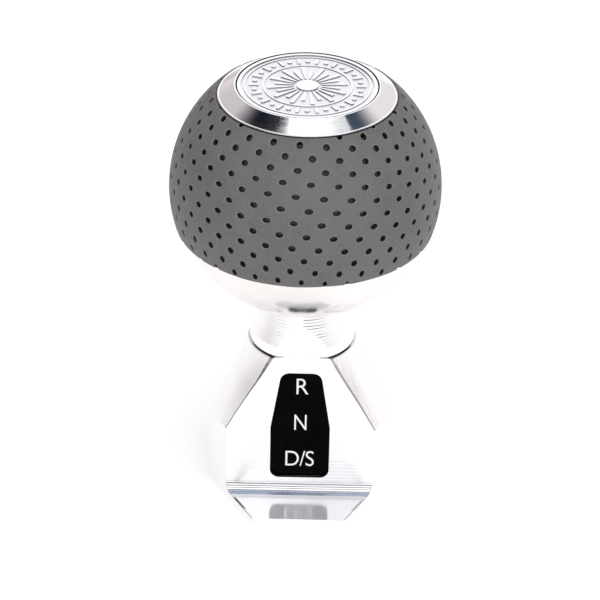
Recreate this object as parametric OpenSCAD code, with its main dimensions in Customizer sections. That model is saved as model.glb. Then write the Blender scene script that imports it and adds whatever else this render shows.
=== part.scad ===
// Gear shift knob: a leather covered ball on a turned neck, over a faceted
// foot with a gear display. The medallion on top is the cap of a release button.
// Millimetres. +Z is up, -Y faces the driver, z = 0 is the underside of the foot
// and the Z axis runs through the lever, the neck and the ball.

/* [Head] */
// Radius of the aluminium ball
head_r = 26.9; // [26:0.1:30]
// How far the leather stands proud of the ball
leather_proud = 0.6; // [0.3:0.05:0.9]
// Thickness of the leather cover
leather_t = 1.2; // [1:0.05:1.8]
// Height of the leather's lower edge below the ball's centre
leather_drop = 8.6; // [6:0.1:11]
// Radius of the medallion's ring, at its outer edge
bezel_r = 18; // [17.8:0.1:18.6]
// Width of the ring, from its outer edge to the medallion
bezel_w = 4.05; // [3.8:0.05:4.6]
// Height of the ring's slope, from its outer edge to its inner lip
bezel_rise = 2; // [1.2:0.1:2.4]
// How far the ring's outer edge lies below the leather's surface
bezel_sink = 0.15; // [0:0.05:0.4]

/* [Leather holes] */
// Radius of one punched hole
punch_r = 0.64; // [0.4:0.02:0.8]
// Angle round the ball between holes in a row
punch_pitch = 11.3; // [10.5:0.1:14]
// Angle between one row and the next
row_pitch = 5.2; // [5:0.1:7]
// Backward tilt of the hole pattern
punch_lean = 16.9; // [10:0.1:20]
// Sideways tilt of the hole pattern
punch_roll = 3.9; // [0:0.1:6]

/* [Button] */
// Thickness of the medallion, relief included
coin_t = 1.5; // [1.2:0.1:2]
// Depth of the medallion's face below the ring's lip
coin_sink = 0.1; // [0:0.05:1]
// Travel of the button
press_travel = 2.5; // [1:0.1:3]
// Radius of the push rod
rod_r = 2; // [1.6:0.1:2.3]
// Radius of the return spring, at the middle of its wire
spring_r = 6.5; // [5.5:0.1:8]
// Radius of the spring's wire
spring_wire_r = 0.5; // [0.3:0.05:0.6]
// Number of turns of the return spring
spring_turns = 5; // [3:1:6]

/* [Neck] */
// Height of the neck from the foot's rim to the ball's surface
neck_h = 10.1; // [9:0.1:14]
// Radius of the neck at its foot
neck_low_r = 10.9; // [10.6:0.1:11.1]
// Radius of the neck where it meets the ball
neck_top_r = 8.9; // [8.4:0.1:10]
// Height of the straight band at the neck's foot
neck_band_h = 2.5; // [1.5:0.1:4]

/* [Foot] */
// Height of the foot, up to its rim
foot_h = 35.2; // [34.6:0.1:38]
// Width of the foot across its side faces
foot_w = 38.4; // [37:0.2:42]
// Depth of the foot from front edge to rear face
foot_d = 39.6; // [38.6:0.2:42]
// Width of the front edge and of the rear face
front_w = 19.4; // [18:0.2:21]
// Length of each side face
side_w = 6.4; // [5:0.2:8]
// Radius of the foot's rim under the neck
rim_r = 11.2; // [11.1:0.05:11.8]
// Height up to which the foot's walls are upright
wall_h = 10; // [8:0.5:12]
// Inward lean of the walls above that height, in degrees
wall_lean = 6.5; // [4:0.5:8]
// Slope of the turned cone, in degrees from the axis
cone_slope = 23.5; // [22.5:0.25:25]
// Distance of the milled front face from the axis
flat_y = 9.6; // [9.4:0.05:10]
// Thickness of the ledge in front of the milled face
ledge_h = 1.65; // [1.5:0.05:2.4]
// Radius of the fillet between the ledge and the milled face
ledge_fillet = 2.2; // [1.5:0.1:2.6]

/* [Display] */
// Height of the window's lower edge
window_z = 5.1; // [4.6:0.1:6]
// Height of the wall between the window and the rim
window_wall_h = 3.8; // [3.5:0.1:6]
// Width of the window's lower part
window_w = 12.4; // [11:0.1:12.8]
// Width across the top of the window's tapered part
window_top_w = 8.2; // [7.4:0.1:9]
// Height of the window's straight sided part
window_straight_h = 12.8; // [10:0.1:15]
// Thickness of the wall round the window
window_wall = 0.9; // [0.7:0.05:1]
// Thickness of the window's lens
lens_t = 1; // [0.8:0.05:1.1]

/* [Lever] */
// Radius of the lever bore
lever_r = 4; // [3:0.1:4.4]
// Depth of the lever bore
lever_depth = 24; // [20:0.5:24.5]
// Outer radius of the lever sleeve
sleeve_r = 6; // [5.6:0.1:6.05]
// Radius of the two clamping grub screws
grub_r = 2; // [1.5:0.1:2.5]
// Thickness of the cover plate under the foot
plate_t = 1.5; // [1.2:0.05:1.6]

/* [Hidden] */
$fn = 96;

// Clearances: a hair between fitted faces, a running fit, a free gap
hair = 0.02;
run_fit = 0.05;
free_gap = 0.3;
cut = 1;
far = 80;

// Heights along the axis
neck_z = foot_h;
neck_top_z = neck_z + neck_h;
head_z = neck_top_z + sqrt(head_r * head_r - neck_top_r * neck_top_r);
leather_r = head_r + leather_proud;
groove_r = leather_r - leather_t;
leather_z = head_z - leather_drop;
bezel_edge_z = head_z + sqrt(leather_r * leather_r - bezel_r * bezel_r) - bezel_sink;
lip_z = bezel_edge_z + bezel_rise;

// Ring round the medallion
coin_r = bezel_r - bezel_w;
bezel_gap = 0.25;
bezel_bore_r = coin_r + free_gap;
bezel_thread_w = 1.6;
bezel_lip_w = 0.3;
bezel_land_w = 0.25;
bezel_seat_z = bezel_edge_z - head_r * 0.1;
bezel_thread_r = bezel_r - bezel_thread_w;
bezel_low_z = bezel_seat_z - head_r * 0.104;

// Button and its stem
coin_z = lip_z - coin_sink;
coin_low_z = coin_z - coin_t;
pad_t = 0.3;
cup_top_z = coin_low_z - pad_t;
cup_r = bezel_bore_r - free_gap;
cup_t = 1.8;
cup_under_z = cup_top_z - cup_t;
cup_skirt_t = 1.3;
cup_skirt_z = cup_top_z - head_r * 0.186;
cup_boss_w = 2;
cup_boss_r = rod_r + cup_boss_w;
cup_boss_z = cup_under_z - head_r * 0.193;
rod_top_z = cup_under_z - free_gap;
well_gap = 0.4;
well_r = bezel_bore_r + well_gap;
well_z = cup_skirt_z - press_travel - head_r * 0.056;

// Tie stud that holds the ball and the neck on the foot
stud_r = 5;
stud_wall = 2.4;
stud_bore_r = stud_r - stud_wall;
stud_gap = 0.2;
stud_hole_r = stud_r + stud_gap;
lever_stop_gap = 0.1;
stud_low_z = lever_depth + lever_stop_gap;
tie_seat_z = neck_top_z + head_r * 0.249;
washer_t = 1.2;
washer_r = 8.6;
nut_t = head_r * 0.223;
nut_flats = 15;
nut_z = tie_seat_z + washer_t;
stud_proud = 1.3;
stud_top_z = nut_z + nut_t + stud_proud;
spigot_r = 7;
spigot_h = 2;
spigot_top_z = neck_top_z + spigot_h;
rod_low_z = stud_low_z + 0.5;

// Guide bush, clip and spring
bush_top_z = well_z - head_r * 0.149;
bush_flange_t = 2;
bush_flange_w = 4.5;
bush_flange_r = spring_r + bush_flange_w;
bush_seat_z = bush_top_z - bush_flange_t;
bush_step = 1;
bush_r = bush_flange_r - bush_step;
clip_t = 0.8;
clip_w = 1.4;
clip_r = rod_r + clip_w;
clip_groove = 0.5;
clip_neck_r = rod_r - clip_groove;
clip_room = 1.55;
clip_top_z = stud_top_z + clip_room + press_travel + clip_t;
bush_low_z = clip_top_z + free_gap;
spring_seat_gap = 0.05;
spring_low_z = bush_top_z + spring_wire_r + spring_seat_gap;
spring_high_z = cup_under_z - spring_wire_r - 2 * spring_seat_gap;
spring_steps = 24;
spring_sides = 8;

// Neck
neck_groove = 0.25;
neck_boss_inset = 0.7;
neck_hollow = 0.08;
neck_flare_h = 1;
pin_r = 1;
pin_y = 8.2;
pin_half = 3;

// Foot: plan corners, cone and milled front
foot_corner_r = 1.2;
foot_half_w = foot_w / 2;
foot_half_d = foot_d / 2;
rim_flare_r = 50;
rim_flare_h = 8;
rim_break = 0.25;
foot_plan = [[front_w / 2, foot_half_d], [foot_half_w, side_w / 2],
    [foot_half_w, -side_w / 2], [front_w / 2, -foot_half_d],
    [-front_w / 2, -foot_half_d], [-foot_half_w, -side_w / 2],
    [-foot_half_w, side_w / 2], [-front_w / 2, foot_half_d]];

// Display stack, from the milled face inwards
gasket_t = 0.3;
film_t = 0.2;
lamp_t = 0.5;
board_t = 0.6;
window_back_y = flat_y - window_wall;
lens_y = window_back_y - gasket_t;
film_y = lens_y - lens_t;
lamp_y = film_y - film_t;
board_y = lamp_y - lamp_t;
board_back_y = board_y - board_t;
pocket_back_y = board_back_y - 0.6;
lens_rim = 1.2;
pocket_gap = 0.15;
window_corner_r = 2;
window_top_z = foot_h - window_wall_h;
window_h = window_top_z - window_z;
window_bend_z = window_z + window_straight_h;
legend_z = [for (part = [0.16, 0.506, 0.848]) window_z + window_h * part];
lamp_w = 2.4;
lamp_h = 1.6;
socket_w = 7;
socket_h = 2.4;

// Lever sleeve, grub screws and cover plate
sleeve_gap = 0.15;
grub_z = [lever_depth * 0.38, lever_depth * 0.72];
grub_tip = 0.3;
grub_len = 10;
grub_key_r = grub_r * 0.62;
grub_key_depth = 2.5;
plate_inset = 3.2;
plate_gap = 0.1;
slot_w = 9;
slot_d = 2.2;
screw_r = 1.2;
screw_head_r = 2.3;
screw_len = 8;
screw_sink = 0.1;
plate_side_x = foot_half_w - plate_inset;
plate_rear_y = foot_half_d - plate_inset;
plate_slope = (foot_half_w - front_w / 2) / (foot_half_d - side_w / 2);
screw_front = [plate_side_x - 3.8, -side_w / 2 - 1.4];
screw_rear = [plate_side_x - plate_slope * (plate_rear_y - side_w / 2) - 0.3,
    plate_rear_y - 5];
screw_at = [for (s = [-1, 1], p = [screw_front, screw_rear]) [s * p[0], p[1]]];

// A closed convex outline with every corner rounded to radius r
function unit(v) = v / norm(v);
function corner_arc(p, a, b, r, steps) =
    let (u = unit(a - p), v = unit(b - p), half = acos(u * v) / 2,
        centre = p + unit(u + v) * r / sin(half),
        from = p + u * r / tan(half) - centre,
        turn = sign(cross(u, v)) * (180 - 2 * half))
    [for (i = [0 : steps]) let (t = -turn * i / steps)
        centre + [from[0] * cos(t) - from[1] * sin(t),
            from[0] * sin(t) + from[1] * cos(t)]];
function rounded(pts, r, steps = 6) =
    let (n = len(pts))
    [for (i = [0 : n - 1])
        each corner_arc(pts[i], pts[(i + n - 1) % n], pts[(i + 1) % n], r, steps)];

// The window's outline, seen from the front, grown by g on every side
function window_outline(g) = [
    [-window_w / 2 - g, window_z - g], [window_w / 2 + g, window_z - g],
    [window_w / 2 + g, window_bend_z], [window_top_w / 2 + g * 0.9, window_top_z + g],
    [-window_top_w / 2 - g * 0.9, window_top_z + g], [-window_w / 2 - g, window_bend_z]];

// A plate with that outline, its front face at distance y from the axis
module display_plate(g, y, t, corner_r = window_corner_r) {
    translate([0, t - y, 0])
        rotate([90, 0, 0])
            linear_extrude(t)
                polygon(rounded(window_outline(g), corner_r));
}

// Everything in front of the milled face, above the ledge
module front_cut(low_z, fillet) {
    edge_y = -flat_y - fillet;
    edge_z = low_z + fillet;
    translate([-far / 2, edge_y - far, low_z])
        cube([far, far, far]);
    translate([-far / 2, -flat_y - far, edge_z])
        cube([far, far, far]);
    translate([-far / 2, edge_y, edge_z])
        rotate([0, 90, 0])
            cylinder(r = fillet, h = far);
}

// Unit vectors of the tilted hole pattern: its pole and two level directions
pole = [sin(punch_roll), sin(punch_lean),
    sqrt(1 - pow(sin(punch_roll), 2) - pow(sin(punch_lean), 2))];
level_x = unit(cross([0, 1, 0], pole));
level_y = cross(pole, level_x);
first_row = -2;
last_row = 12;
middle_turn = -85.5;
first_lat = 28;
function row_lat(k) = first_lat - row_pitch * k - 0.024 * k * k;
function row_step(lat) = punch_pitch + 0.00055 * pow(lat + 14, 2);
function punch_dir(lat, turn) =
    cos(lat) * (cos(turn) * level_x + sin(turn) * level_y) + sin(lat) * pole;
punch_land = 0.15;
punch_edge = punch_r + punch_land;
function punch_fits(d) =
    leather_r * d[2] > punch_edge - leather_drop
    && leather_r * sqrt(1 - d[2] * d[2]) > bezel_r + bezel_gap + punch_edge
    && -leather_r * d[1] > punch_edge + punch_land;
punch_dirs = [for (k = [first_row : last_row])
    let (lat = row_lat(k), step = row_step(lat), shift = k % 2 == 0 ? 0 : 0.5)
    for (j = [-9 : 9])
        let (d = punch_dir(lat, middle_turn + (j + shift) * step))
        if (punch_fits(d)) d];

module punches() {
    for (half = [0, 180], d = punch_dirs)
        rotate([0, 90 - asin(d[2]), atan2(d[1], d[0]) + half])
            translate([0, 0, groove_r - cut])
                cylinder(r = punch_r, h = leather_t + 2 * cut, $fn = 16);
}

module head_ball() {
    color("gainsboro")
        difference() {
            translate([0, 0, head_z])
                union() {
                    sphere(groove_r);
                    intersection() {
                        sphere(head_r);
                        translate([0, 0, -leather_drop - far / 2])
                            cube(far, center = true);
                    }
                }
            translate([0, 0, bezel_seat_z])
                cylinder(r = bezel_r + bezel_gap, h = far);
            translate([0, 0, bezel_low_z])
                cylinder(r = bezel_thread_r + hair, h = far);
            translate([0, 0, well_z])
                cylinder(r = well_r, h = far);
            translate([0, 0, bush_seat_z])
                cylinder(r = bush_flange_r + run_fit, h = far);
            translate([0, 0, tie_seat_z])
                cylinder(r = bush_r + hair, h = far);
            cylinder(r = stud_hole_r, h = far);
            cylinder(r = spigot_r + run_fit, h = spigot_top_z + hair);
        }
}

module leather_wrap() {
    color("dimgray")
        translate([0, 0, head_z])
            difference() {
                sphere(leather_r);
                sphere(groove_r);
                translate([0, 0, -leather_drop - far / 2])
                    cube(far, center = true);
                cylinder(r = bezel_r + bezel_gap, h = far);
                punches();
            }
}

module bezel_ring() {
    land_r = bezel_r - bezel_land_w;
    color("silver")
        rotate_extrude()
            polygon([[bezel_bore_r, bezel_low_z], [bezel_thread_r, bezel_low_z],
                [bezel_thread_r, bezel_seat_z], [bezel_r, bezel_seat_z],
                [bezel_r, bezel_edge_z - bezel_land_w], [land_r, bezel_edge_z],
                [land_r - bezel_land_w, bezel_edge_z],
                [bezel_bore_r + bezel_lip_w, lip_z], [bezel_bore_r, lip_z]]);
}

// Medallion relief: rim, two ring lines, a band of bars and pellets, a sunburst
coin_relief = 0.25;
coin_root = 0.2;
coin_rim_w = 0.7;
band_out_r = coin_r - 1.3;
band_in_r = coin_r * 0.64;
line_w = 0.3;
band_gap = 0.7;
band_count = 36;
bar_w = 0.55;
pellet_r = 0.48;
ray_count = 24;
ray_low_w = 0.3;
ray_top_w = 0.8;
boss_r = 2.2;
boss_gap = 0.6;

module ring_line(r, z, h) {
    translate([0, 0, z])
        difference() {
            cylinder(r = r, h = h);
            translate([0, 0, -cut])
                cylinder(r = r - line_w, h = h + 2 * cut);
        }
}

module medallion() {
    root_z = coin_z - coin_relief - coin_root;
    rim_h = coin_root + coin_relief;
    line_h = coin_root + coin_relief * 0.6;
    motif_h = coin_root + coin_relief * 0.8;
    band_mid_r = (band_out_r - line_w + band_in_r) / 2;
    bar_l = band_out_r - line_w - band_in_r - 2 * band_gap;
    ray_l = band_in_r - line_w - boss_r - 2 * boss_gap;
    color("lavender")
        union() {
            translate([0, 0, coin_low_z])
                cylinder(r = coin_r, h = coin_t - coin_relief);
            difference() {
                translate([0, 0, root_z])
                    cylinder(r = coin_r, h = rim_h);
                translate([0, 0, root_z - cut])
                    cylinder(r = coin_r - coin_rim_w, h = rim_h + 2 * cut);
            }
            ring_line(band_out_r, root_z, line_h);
            ring_line(band_in_r, root_z, line_h);
            for (i = [0 : band_count - 1])
                rotate([0, 0, i * 360 / band_count])
                    translate([band_mid_r, 0, root_z])
                        if (i % 2 == 0)
                            translate([-bar_l / 2, -bar_w / 2, 0])
                                cube([bar_l, bar_w, motif_h]);
                        else
                            cylinder(r = pellet_r, h = motif_h, $fn = 24);
            for (i = [0 : ray_count - 1])
                rotate([0, 0, (i + 0.5) * 360 / ray_count])
                    translate([boss_r + boss_gap, 0, root_z])
                        linear_extrude(motif_h)
                            ray_shape(ray_l * (i % 2 == 0 ? 1 : 0.7));
            translate([0, 0, root_z])
                cylinder(r = boss_r, h = rim_h);
        }
}

// One ray of the sunburst, widening outwards
module ray_shape(l) {
    polygon([[0, -ray_low_w / 2], [l, -ray_top_w / 2], [l, ray_top_w / 2], [0, ray_low_w / 2]]);
}

module medallion_pad() {
    color("white")
        translate([0, 0, cup_top_z])
            cylinder(r = coin_r - 0.5, h = pad_t);
}

module button_cup() {
    color("darkgray")
        difference() {
            rotate_extrude()
                polygon([[0, cup_boss_z], [cup_boss_r, cup_boss_z],
                    [cup_boss_r, cup_under_z], [cup_r - cup_skirt_t, cup_under_z],
                    [cup_r - cup_skirt_t, cup_skirt_z], [cup_r, cup_skirt_z],
                    [cup_r, cup_top_z], [0, cup_top_z]]);
            translate([0, 0, cup_boss_z - cut])
                cylinder(r = rod_r + hair, h = rod_top_z - cup_boss_z + cut);
        }
}

module push_rod() {
    groove_z = clip_top_z - clip_t - hair;
    color("lightsteelblue")
        difference() {
            translate([0, 0, rod_low_z])
                cylinder(r = rod_r, h = rod_top_z - rod_low_z);
            translate([0, 0, groove_z])
                difference() {
                    cylinder(r = rod_r + cut, h = clip_t + 2 * hair);
                    cylinder(r = clip_neck_r, h = clip_t + 2 * hair);
                }
        }
}

module rod_clip() {
    color("dimgray")
        translate([0, 0, clip_top_z - clip_t])
            difference() {
                cylinder(r = clip_r, h = clip_t);
                translate([0, 0, -cut])
                    cylinder(r = clip_neck_r + hair, h = clip_t + 2 * cut);
                translate([0, -clip_neck_r * 0.8, -cut])
                    cube([clip_r + cut, clip_neck_r * 1.6, clip_t + 2 * cut]);
            }
}

// Points of the coil: a ring of spring_sides points at every step along the helix
function coil_ring(t) =
    let (a = 360 * spring_turns * t,
        z = spring_low_z + (spring_high_z - spring_low_z) * t)
    [for (s = [0 : spring_sides - 1])
        let (b = 360 * s / spring_sides, r = spring_r + spring_wire_r * cos(b))
        [r * cos(a), r * sin(a), z + spring_wire_r * sin(b)]];

module return_spring() {
    rings = spring_turns * spring_steps;
    n = spring_sides;
    color("slategray")
        polyhedron(
            points = [for (i = [0 : rings]) each coil_ring(i / rings)],
            faces = concat(
                [[for (s = [0 : n - 1]) s]],
                [for (i = [0 : rings - 1], s = [0 : n - 1])
                    let (t = (s + 1) % n)
                    [i * n + t, i * n + s, (i + 1) * n + s, (i + 1) * n + t]],
                [[for (s = [n - 1 : -1 : 0]) rings * n + s]]));
}

module guide_bush() {
    color("burlywood")
        difference() {
            union() {
                translate([0, 0, bush_seat_z])
                    cylinder(r = bush_flange_r, h = bush_flange_t);
                translate([0, 0, bush_low_z])
                    cylinder(r = bush_r, h = bush_seat_z - bush_low_z);
            }
            cylinder(r = rod_r + run_fit, h = far * 2);
        }
}

module neck_collar() {
    low_z = neck_z + neck_groove;
    band_z = neck_z + neck_band_h;
    boss_r = neck_low_r - neck_boss_inset;
    steps = 8;
    taper = [for (i = [0 : steps]) let (t = i / steps)
        [neck_low_r + (neck_top_r - neck_low_r) * t - neck_hollow * sin(180 * t),
            band_z + (neck_top_z - band_z) * t]];
    color("gainsboro")
        difference() {
            rotate_extrude()
                polygon(concat(
                    [[0, neck_z], [boss_r, neck_z], [boss_r, low_z], [neck_low_r, low_z]],
                    taper,
                    [[spigot_r, neck_top_z + neck_flare_h], [spigot_r, spigot_top_z],
                        [0, spigot_top_z]]));
            difference() {
                translate([0, 0, head_z])
                    sphere(head_r + hair);
                cylinder(r = spigot_r, h = far);
            }
            cylinder(r = stud_hole_r, h = far);
            translate([-far / 2, -flat_y - far, neck_z])
                cube([far, far, far]);
            translate([0, pin_y, neck_z - cut])
                cylinder(r = pin_r + hair, h = pin_half + cut, $fn = 32);
        }
}

module index_pin() {
    color("silver")
        translate([0, pin_y, neck_z - pin_half + 0.1])
            cylinder(r = pin_r, h = 2 * pin_half - 0.2, $fn = 32);
}

module tie_stud() {
    color("darkgray")
        difference() {
            translate([0, 0, stud_low_z])
                cylinder(r = stud_r, h = stud_top_z - stud_low_z);
            cylinder(r = stud_bore_r, h = far);
        }
}

module tie_washer() {
    color("silver")
        translate([0, 0, tie_seat_z])
            difference() {
                cylinder(r = washer_r, h = washer_t);
                translate([0, 0, -cut])
                    cylinder(r = stud_hole_r, h = washer_t + 2 * cut);
            }
}

module tie_nut() {
    color("silver")
        translate([0, 0, nut_z])
            difference() {
                cylinder(r = nut_flats / 2 / cos(30), h = nut_t, $fn = 6);
                translate([0, 0, -cut])
                    cylinder(r = stud_r + hair, h = nut_t + 2 * cut);
            }
}

// Leaning walls: one cut for each side of the plan, above wall_h
module wall_cuts() {
    n = len(foot_plan);
    for (i = [0 : n - 1]) {
        a = foot_plan[i];
        b = foot_plan[(i + 1) % n];
        mid = (a + b) / 2;
        along = unit(b - a);
        translate([mid[0], mid[1], wall_h])
            rotate([0, 0, atan2(along[1], along[0])])
                rotate([-wall_lean, 0, 0])
                    translate([-far / 2, 0, 0])
                        cube([far, far, far]);
    }
}

// Section of the turned cone, with its flare at the rim
function cone_r(z) =
    let (flare_z = foot_h - rim_flare_h, rise = max(z - flare_z, 0))
    rim_r + tan(cone_slope) * (foot_h - z)
    - (pow(rim_flare_h, 2) - pow(rise, 2)) / (2 * rim_flare_r * cos(cone_slope));

module turned_cone() {
    steps = 6;
    low = ledge_h + 1;
    flare_z = foot_h - rim_flare_h;
    rotate_extrude()
        polygon(concat(
            [[0, 0], [far / 2, 0], [far / 2, low], [cone_r(low), low]],
            [for (i = [0 : steps]) let (z = flare_z + (rim_flare_h - rim_break) * i / steps)
                [cone_r(z), z]],
            [[cone_r(foot_h) - rim_break, foot_h], [0, foot_h]]));
}

module foot_body() {
    color("gainsboro")
        difference() {
            intersection() {
                linear_extrude(foot_h)
                    polygon(rounded(foot_plan, foot_corner_r, 4));
                turned_cone();
            }
            wall_cuts();
            front_cut(ledge_h, ledge_fillet);
            display_plate(0, flat_y + cut, window_wall + 2 * cut);
            display_pocket();
            cylinder(r = sleeve_r + hair, h = lever_depth);
            cylinder(r = stud_r + hair, h = far);
            translate([0, pin_y, neck_z - pin_half])
                cylinder(r = pin_r + hair, h = far, $fn = 32);
            for (z = grub_z)
                translate([0, 0, z])
                    rotate([-90, 0, 0])
                        cylinder(r = grub_r + hair, h = far, $fn = 48);
            translate([0, 0, -cut])
                linear_extrude(plate_t + plate_gap + cut)
                    polygon(rounded(plate_outline(0), 1));
            for (p = screw_at)
                translate([p[0], p[1], 0])
                    cylinder(r = screw_r + hair, h = screw_len + 1, $fn = 32);
        }
}

// Room behind the window for the display, open to the cover plate
module display_pocket() {
    g = lens_rim + pocket_gap;
    depth = window_back_y - pocket_back_y;
    half_w = window_w / 2 + g;
    translate([0, depth - window_back_y, 0])
        rotate([90, 0, 0])
            linear_extrude(depth)
                polygon([[-half_w, plate_t], [half_w, plate_t], [half_w, window_bend_z],
                    [window_top_w / 2 + g, window_top_z + g],
                    [-window_top_w / 2 - g, window_top_z + g],
                    [-half_w, window_bend_z]]);
}

module lens_gasket() {
    color("black")
        difference() {
            display_plate(lens_rim, window_back_y, gasket_t);
            display_plate(0.2, window_back_y + cut, gasket_t + 2 * cut);
        }
}

module window_lens() {
    color("black")
        display_plate(lens_rim, lens_y, lens_t);
}

module letter_film() {
    color("white")
        display_plate(lens_rim - 0.1, film_y, film_t);
}

module gear_lamps() {
    color("white")
        for (z = legend_z)
            translate([-lamp_w / 2, -lamp_y, z - lamp_h / 2])
                cube([lamp_w, lamp_t, lamp_h]);
}

module light_board() {
    low_z = plate_t + 0.4;
    half_w = window_w / 2 + lens_rim;
    color("darkgreen")
        translate([0, board_t - board_y, 0])
            rotate([90, 0, 0])
                linear_extrude(board_t)
                    polygon([[-half_w, low_z], [half_w, low_z], [half_w, window_bend_z],
                        [window_top_w / 2 + 0.6, window_top_z],
                        [-window_top_w / 2 - 0.6, window_top_z],
                        [-half_w, window_bend_z]]);
}

module board_socket() {
    color("ivory")
        translate([-socket_w / 2, -lamp_y, plate_t + 0.6])
            cube([socket_w, lamp_t, socket_h]);
}

module lever_sleeve() {
    color("goldenrod")
        difference() {
            cylinder(r = sleeve_r, h = lever_depth);
            translate([0, 0, -cut])
                cylinder(r = lever_r, h = lever_depth + 2 * cut);
            for (z = grub_z)
                translate([0, 0, z])
                    rotate([-90, 0, 0])
                        cylinder(r = grub_r + hair, h = far, $fn = 48);
        }
}

module grub_screws() {
    tip_y = lever_r + grub_tip;
    color("dimgray")
        for (z = grub_z)
            translate([0, tip_y, z])
                rotate([-90, 0, 0])
                    difference() {
                        cylinder(r = grub_r, h = grub_len, $fn = 48);
                        translate([0, 0, grub_len - grub_key_depth])
                            cylinder(r = grub_key_r, h = grub_key_depth + cut, $fn = 6);
                    }
}

// The cover plate follows the foot's plan, and stops behind the milled face
function plate_outline(g) =
    let (front_y = -window_back_y + g, rear_y = plate_rear_y - g,
        side_x = plate_side_x - g,
        front_x = side_x - (-front_y - side_w / 2) * plate_slope,
        rear_x = side_x - (rear_y - side_w / 2) * plate_slope)
    [[-front_x, front_y], [front_x, front_y], [side_x, -side_w / 2],
        [side_x, side_w / 2], [rear_x, rear_y], [-rear_x, rear_y],
        [-side_x, side_w / 2], [-side_x, -side_w / 2]];

module cover_plate() {
    color("dimgray")
        difference() {
            linear_extrude(plate_t)
                polygon(rounded(plate_outline(plate_gap), 1));
            translate([0, 0, -cut])
                cylinder(r = sleeve_r + sleeve_gap, h = plate_t + 2 * cut);
            translate([-slot_w / 2, -lamp_y, -cut])
                cube([slot_w, slot_d, plate_t + 2 * cut]);
            for (p = screw_at)
                translate([p[0], p[1], 0])
                    screw_shape(hair);
        }
}

// A countersunk screw with its point up; grow widens it for the hole
module screw_shape(grow) {
    sink = screw_sink - grow;
    head_h = screw_head_r - screw_r;
    translate([0, 0, sink])
        cylinder(r1 = screw_head_r + grow, r2 = screw_r + grow, h = head_h, $fn = 32);
    translate([0, 0, sink])
        cylinder(r = screw_r + grow, h = screw_len, $fn = 32);
    if (grow > 0)
        translate([0, 0, sink - cut])
            cylinder(r = screw_head_r + grow, h = cut, $fn = 32);
}

module plate_screws() {
    color("silver")
        for (p = screw_at)
            translate([p[0], p[1], 0])
                difference() {
                    screw_shape(0);
                    cylinder(r = 0.8, h = screw_sink + 1, $fn = 6);
                }
}

head_ball();
leather_wrap();
bezel_ring();
medallion();
medallion_pad();
button_cup();
push_rod();
rod_clip();
return_spring();
guide_bush();
neck_collar();
index_pin();
tie_stud();
tie_washer();
tie_nut();
foot_body();
lens_gasket();
window_lens();
letter_film();
gear_lamps();
light_board();
board_socket();
lever_sleeve();
grub_screws();
cover_plate();
plate_screws();
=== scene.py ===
"""The looks of a gear shift knob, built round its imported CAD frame."""

import math
import random

import bmesh
import bpy
from mathutils import Matrix, Vector, kdtree
from mathutils.geometry import delaunay_2d_cdt


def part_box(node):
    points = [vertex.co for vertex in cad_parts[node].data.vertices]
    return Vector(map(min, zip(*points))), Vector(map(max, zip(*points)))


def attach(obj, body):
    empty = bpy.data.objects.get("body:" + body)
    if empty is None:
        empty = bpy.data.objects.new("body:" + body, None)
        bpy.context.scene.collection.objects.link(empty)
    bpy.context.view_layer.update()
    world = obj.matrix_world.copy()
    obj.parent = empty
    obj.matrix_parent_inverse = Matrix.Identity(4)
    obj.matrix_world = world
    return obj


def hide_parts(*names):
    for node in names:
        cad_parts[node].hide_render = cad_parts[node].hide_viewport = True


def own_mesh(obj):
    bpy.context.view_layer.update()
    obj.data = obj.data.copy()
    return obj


bl_info = {
    "name": "Gear shift knob",
    "version": (1, 0, 0),
    "blender": (4, 5, 0),
    "location": "3D View > Sidebar > Shift knob",
    "description": "Leather, metal and display of a gear shift knob on its CAD frame",
    "category": "Object",
}

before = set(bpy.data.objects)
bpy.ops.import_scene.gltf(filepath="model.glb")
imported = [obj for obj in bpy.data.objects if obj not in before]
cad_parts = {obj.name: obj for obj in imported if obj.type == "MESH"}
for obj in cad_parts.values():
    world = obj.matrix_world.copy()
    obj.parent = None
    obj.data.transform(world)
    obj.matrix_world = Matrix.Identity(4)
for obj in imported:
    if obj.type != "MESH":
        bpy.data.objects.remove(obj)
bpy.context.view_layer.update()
MM = 0.001

# Heights and radii read from the frame, in metres
WRAP_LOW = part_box("leather_wrap")[0]
LENS_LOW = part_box("window_lens")[0]
RING_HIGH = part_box("bezel_ring")[1]
COIN_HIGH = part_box("medallion")[1]
FOOT_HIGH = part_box("foot_body")[1]

# The ball, as the CAD has it: how far the wrap's lower edge lies below its centre, the
# radius of the wrap outside and inside, and the radius of its upper edge
LEATHER_DROP = 8.6 * MM
BALL = Vector((0, 0, WRAP_LOW.z + LEATHER_DROP))
LEATHER_R = 27.5 * MM
GROOVE_R = 26.3 * MM
COVER_TOP_R = 18.25 * MM

# The foot, as the CAD has it: the plane of the milled face and the ledge's height
FLAT_Y = -9.6 * MM
LEDGE_Z = 1.65 * MM


# Settings that a user would change


class KnobLeather(bpy.types.PropertyGroup):
    """The perforated leather cover"""

    colour: bpy.props.FloatVectorProperty(
        name="Colour", description="Colour of the dyed face",
        default=(0.142, 0.139, 0.134), min=0, max=1, subtype="COLOR")
    # Painted shade: the dark colour that the holes' deep walls and the cut edges take
    hole_shade_colour: bpy.props.FloatVectorProperty(
        name="Hole colour", description="Colour of the padding seen through the holes",
        default=(0.02, 0.02, 0.019), min=0, max=1, subtype="COLOR")
    hole_length: bpy.props.FloatProperty(
        name="Hole length", description="Length of a hole round the ball, where it is widest",
        default=1.55 * MM, min=0.6 * MM, max=1.8 * MM, unit="LENGTH")
    hole_height: bpy.props.FloatProperty(
        name="Hole height", description="Height of a hole, where it is widest",
        default=1.0 * MM, min=0.6 * MM, max=1.8 * MM, unit="LENGTH")
    grain: bpy.props.FloatProperty(
        name="Grain", description="Size of the leather's grain",
        default=0.45 * MM, min=0.1 * MM, max=2 * MM, unit="LENGTH")


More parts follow.
